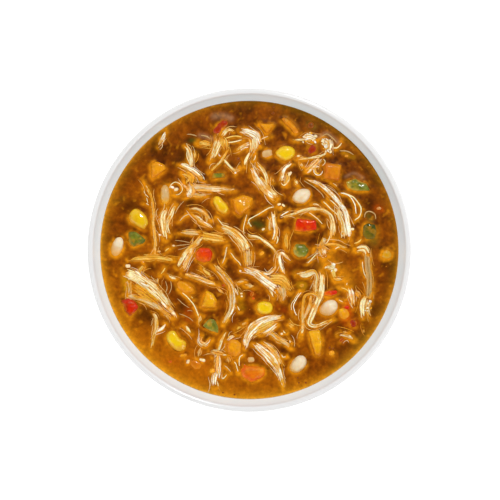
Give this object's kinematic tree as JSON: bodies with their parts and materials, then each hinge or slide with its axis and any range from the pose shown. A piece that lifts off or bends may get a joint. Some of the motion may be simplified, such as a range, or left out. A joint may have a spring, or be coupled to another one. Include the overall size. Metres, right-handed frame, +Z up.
{
  "type": "bowl of chicken vegetable soup",
  "caption": "Shredded chicken soup with corn, beans, carrot and pepper pieces, served in a plain round white bowl that rests on its foot ring.",
  "frame": {"origin": "centre of the foot ring's underside, where the bowl rests", "axes": "+Z up along the bowl's axis; +Y towards the top of the reference view and +X towards its right"},
  "size_m": [0.162, 0.162, 0.058],
  "materials": {
    "porcelain": "white glazed porcelain",
    "soup": "oily brown orange broth",
    "corn": "wet yellow skin",
    "bean": "wet pale bean skin",
    "carrot": "wet cooked carrot",
    "red_pepper": "wet pepper skin",
    "green_pepper": "wet pepper skin",
    "chicken": "wet shredded breast meat"
  },
  "bodies": {
    "root": {"bowl": "porcelain", "soup": "soup", "corn_1": "corn", "corn_2": "corn", "corn_3": "corn", "corn_4": "corn", "corn_5": "corn", "corn_6": "corn", "bean_1": "bean", "bean_2": "bean", "bean_3": "bean", "bean_4": "bean", "bean_5": "bean", "carrot_1": "carrot", "carrot_2": "carrot", "carrot_3": "carrot", "carrot_4": "carrot", "carrot_5": "carrot", "carrot_6": "carrot", "carrot_7": "carrot", "carrot_8": "carrot", "carrot_9": "carrot", "carrot_10": "carrot", "red_pepper_1": "red_pepper", "red_pepper_2": "red_pepper", "red_pepper_3": "red_pepper", "red_pepper_4": "red_pepper", "green_pepper_1": "green_pepper", "green_pepper_2": "green_pepper", "green_pepper_3": "green_pepper", "green_pepper_4": "green_pepper", "green_pepper_5": "green_pepper", "green_pepper_6": "green_pepper", "chicken_1": "chicken", "chicken_2": "chicken", "chicken_3": "chicken", "chicken_4": "chicken", "chicken_5": "chicken", "chicken_6": "chicken", "chicken_7": "chicken", "chicken_8": "chicken", "chicken_9": "chicken", "chicken_10": "chicken", "chicken_11": "chicken", "chicken_12": "chicken", "chicken_13": "chicken", "chicken_14": "chicken", "chicken_15": "chicken", "chicken_16": "chicken", "chicken_17": "chicken", "chicken_18": "chicken", "chicken_19": "chicken", "chicken_20": "chicken", "chicken_21": "chicken", "chicken_22": "chicken", "chicken_23": "chicken", "chicken_24": "chicken", "chicken_25": "chicken", "chicken_26": "chicken", "chicken_27": "chicken"}
  },
  "joints": []
}
